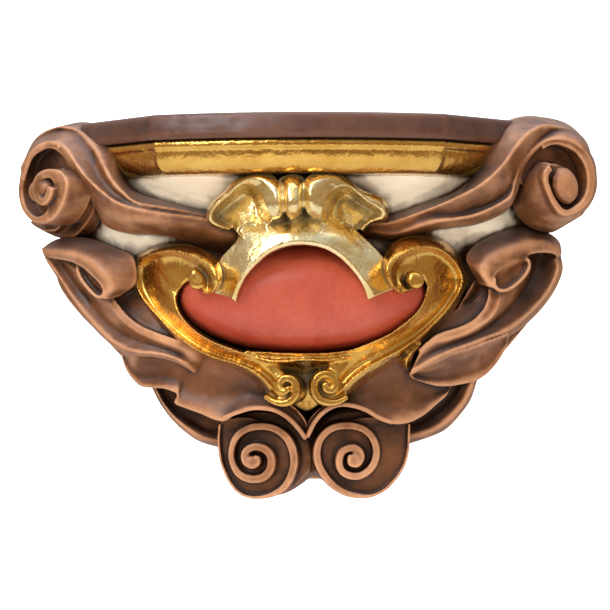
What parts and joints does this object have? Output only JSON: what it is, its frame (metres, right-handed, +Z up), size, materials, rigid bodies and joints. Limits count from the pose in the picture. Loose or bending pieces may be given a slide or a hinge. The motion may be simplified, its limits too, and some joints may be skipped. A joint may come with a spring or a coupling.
{
  "type": "baroque wall console",
  "caption": "Carved and gilded wall console with a flat top board, S-shaped arms ending in volutes, rolled scrolls and leaves, a bow and a cushion-shaped field.",
  "frame": {"origin": "on the flat back face, midway across, 90 mm below the top board's upper face", "axes": "+X to the viewer's right, +Y out of the back into the wall, +Z up; the front faces -Y"},
  "size_m": [0.293, 0.153, 0.1914],
  "materials": {
    "stained_wood": "antiqued brown stain, waxed, lighter on worn ridges and dark in the hollows",
    "gold_leaf": "burnished gold leaf with dark patina in the hollows",
    "cream_ground": "matte cream ground colour on wood",
    "red_field": "satin red glaze on wood"
  },
  "bodies": {
    "root": {"carved_console": "stained_wood"}
  },
  "joints": []
}
